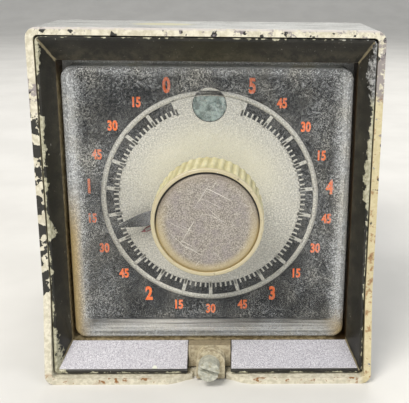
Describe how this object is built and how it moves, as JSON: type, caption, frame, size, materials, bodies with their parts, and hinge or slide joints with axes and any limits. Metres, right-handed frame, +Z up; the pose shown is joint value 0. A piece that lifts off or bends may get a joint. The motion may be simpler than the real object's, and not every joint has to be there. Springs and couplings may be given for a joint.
{
  "type": "panel timer",
  "caption": "Panel-mounted plug-in reset timer: worn grey and cream sleeve with black frame, clear window over a round silver minute scale, fluted setting knob, two pointers, pilot lamp and captive screw.",
  "frame": {"origin": "centre of the gasket face that meets the panel, on the knob's axis", "axes": "+X right as seen from the front, +Y back through the panel, +Z up"},
  "size_m": [0.0952, 0.1271, 0.1016],
  "materials": {
    "cream_paint": "grey enamel over a cream undercoat, worn, with rust spots",
    "gasket_rubber": "matt rubber",
    "plated_steel": "zinc plated",
    "terminal_phenolic": "dark brown moulding",
    "brass_parts": "plain brass",
    "black_paint": "satin black paint, worn to the metal at edges",
    "silver_foil": "sparkling satin silver",
    "clear_window": "clear moulded plastic, dusty",
    "dial_print": "black dial with a silver scale",
    "lamp_window": "translucent plastic, aged grey green",
    "lamp_glass": "clear glass",
    "resistor_body": "lacquered",
    "plate_steel": "zinc plated sheet",
    "board_phenolic": "laminated insulating sheet",
    "motor_steel": "grey lacquer",
    "spring_steel": "blued",
    "coil_tape": "varnished tape",
    "switch_case": "black moulding",
    "knob_plastic": "aged cream plastic",
    "insert_metal": "brushed, scratched",
    "pointer_black": "matt black",
    "pointer_red": "dull red",
    "gear_brass": "plain brass",
    "collar_cast": "worn cream paint",
    "screw_zinc": "dull zinc"
  },
  "bodies": {
    "housing": {"housing_shell": "cream_paint", "panel_gasket": "gasket_rubber", "mounting_studs": "plated_steel", "screw_anchor": "plated_steel", "terminal_block": "terminal_phenolic", "contact_clips": "brass_parts", "terminal_plates": "brass_parts", "terminal_screws": "brass_parts", "block_screws": "plated_steel"},
    "plug_in_unit": {"front_bezel": "black_paint", "nameplate_left": "silver_foil", "nameplate_right": "silver_foil", "lens_cover": "clear_window", "dial_plate": "dial_print", "screw_collar": "collar_cast", "pilot_window": "lamp_window", "lamp_holder": "terminal_phenolic", "pilot_lamp": "lamp_glass", "lamp_resistor": "resistor_body", "front_plate": "plate_steel", "bezel_screws": "plated_steel", "front_bushing": "brass_parts", "short_posts": "plated_steel", "rear_posts": "plated_steel", "post_nuts": "plated_steel", "gear_plate": "plate_steel", "gear_bushing": "brass_parts", "friction_washer": "board_phenolic", "plug_plate": "board_phenolic", "plug_blades": "brass_parts", "motor_can": "motor_steel", "motor_screws": "plated_steel", "return_spring": "spring_steel", "spring_anchor": "plated_steel", "clutch_frame": "plate_steel", "clutch_coil": "coil_tape", "lever_pivot": "plated_steel", "switch_body_front": "switch_case", "switch_body_rear": "switch_case", "switch_screws": "plated_steel"},
    "knob": {"setting_knob": "knob_plastic", "knob_insert": "insert_metal", "setting_shaft": "plated_steel", "setting_pointer": "pointer_black", "friction_disc": "plated_steel"},
    "progress": {"progress_sleeve": "brass_parts", "progress_pointer": "pointer_red", "main_gear": "gear_brass", "trip_arm": "plate_steel"},
    "clutch_train": {"clutch_gear": "gear_brass", "clutch_arbor": "plated_steel"},
    "pinion": {"motor_pinion": "gear_brass"},
    "plunger": {"clutch_plunger": "plate_steel", "plunger_pin": "plated_steel"},
    "bell_crank": {"clutch_lever": "plate_steel"},
    "trip": {"trip_lever": "plate_steel"},
    "front_switch_button": {"switch_plunger_front": "board_phenolic"},
    "rear_switch_button": {"switch_plunger_rear": "board_phenolic"},
    "captive": {"captive_screw": "screw_zinc", "screw_ring": "plated_steel"}
  },
  "joints": [
    {"name": "unit_withdraw", "type": "slide", "parent": "housing", "child": "plug_in_unit", "axis": [0, -1, 0], "range_m": [0, 0.1]},
    {"name": "knob_turn", "type": "hinge", "parent": "plug_in_unit", "child": "knob", "pos_m": [0, 0, 0], "axis": [0, -1, 0], "range_deg": [-86, 234]},
    {"name": "progress_turn", "type": "hinge", "parent": "plug_in_unit", "child": "progress", "pos_m": [0, 0, 0], "axis": [0, -1, 0], "range_deg": [-96, 224]},
    {"name": "clutch_gear_turn", "type": "hinge", "parent": "plug_in_unit", "child": "clutch_train", "pos_m": [0.02157, 0, 0.02157], "axis": [0, -1, 0], "range_deg": [-640, 280]},
    {"name": "pinion_turn", "type": "hinge", "parent": "plug_in_unit", "child": "pinion", "pos_m": [0.00957, 0, 0.02157], "axis": [0, -1, 0], "range_deg": [-550, 1270]},
    {"name": "plunger_pull", "type": "slide", "parent": "plug_in_unit", "child": "plunger", "axis": [0, 0, -1], "range_m": [0, 0.0025], "stiffness_N_per_m": 200, "springref_m": -0.002},
    {"name": "bell_crank_turn", "type": "hinge", "parent": "plug_in_unit", "child": "bell_crank", "pos_m": [0.036, 0, -0.012], "axis": [0, -1, 0], "range_deg": [0, 12]},
    {"name": "trip_turn", "type": "hinge", "parent": "plug_in_unit", "child": "trip", "pos_m": [-0.013, 0, -0.031], "axis": [0, -1, 0], "range_deg": [0, 8], "stiffness_Nm_per_rad": 0.02, "springref_deg": -8.59},
    {"name": "front_button_press", "type": "slide", "parent": "plug_in_unit", "child": "front_switch_button", "axis": [1, 0, 0], "range_m": [0, 0.00085]},
    {"name": "rear_button_press", "type": "slide", "parent": "plug_in_unit", "child": "rear_switch_button", "axis": [1, 0, 0], "range_m": [0, 0.00085]},
    {"name": "captive_screw_turn", "type": "hinge", "parent": "plug_in_unit", "child": "captive", "pos_m": [0, 0, -0.0454], "axis": [0, -1, 0], "continuous": true}
  ],
  "couplings": [
    {"joint": "clutch_gear_turn", "follows": "progress_turn", "ratio": -2.8125},
    {"joint": "pinion_turn", "follows": "progress_turn", "ratio": 5.625},
    {"joint": "bell_crank_turn", "follows": "plunger_pull", "rad_per_m": 83.3},
    {"joint": "front_button_press", "follows": "trip_turn", "m_per_rad": 0.006},
    {"joint": "rear_button_press", "follows": "trip_turn", "m_per_rad": 0.006}
  ]
}
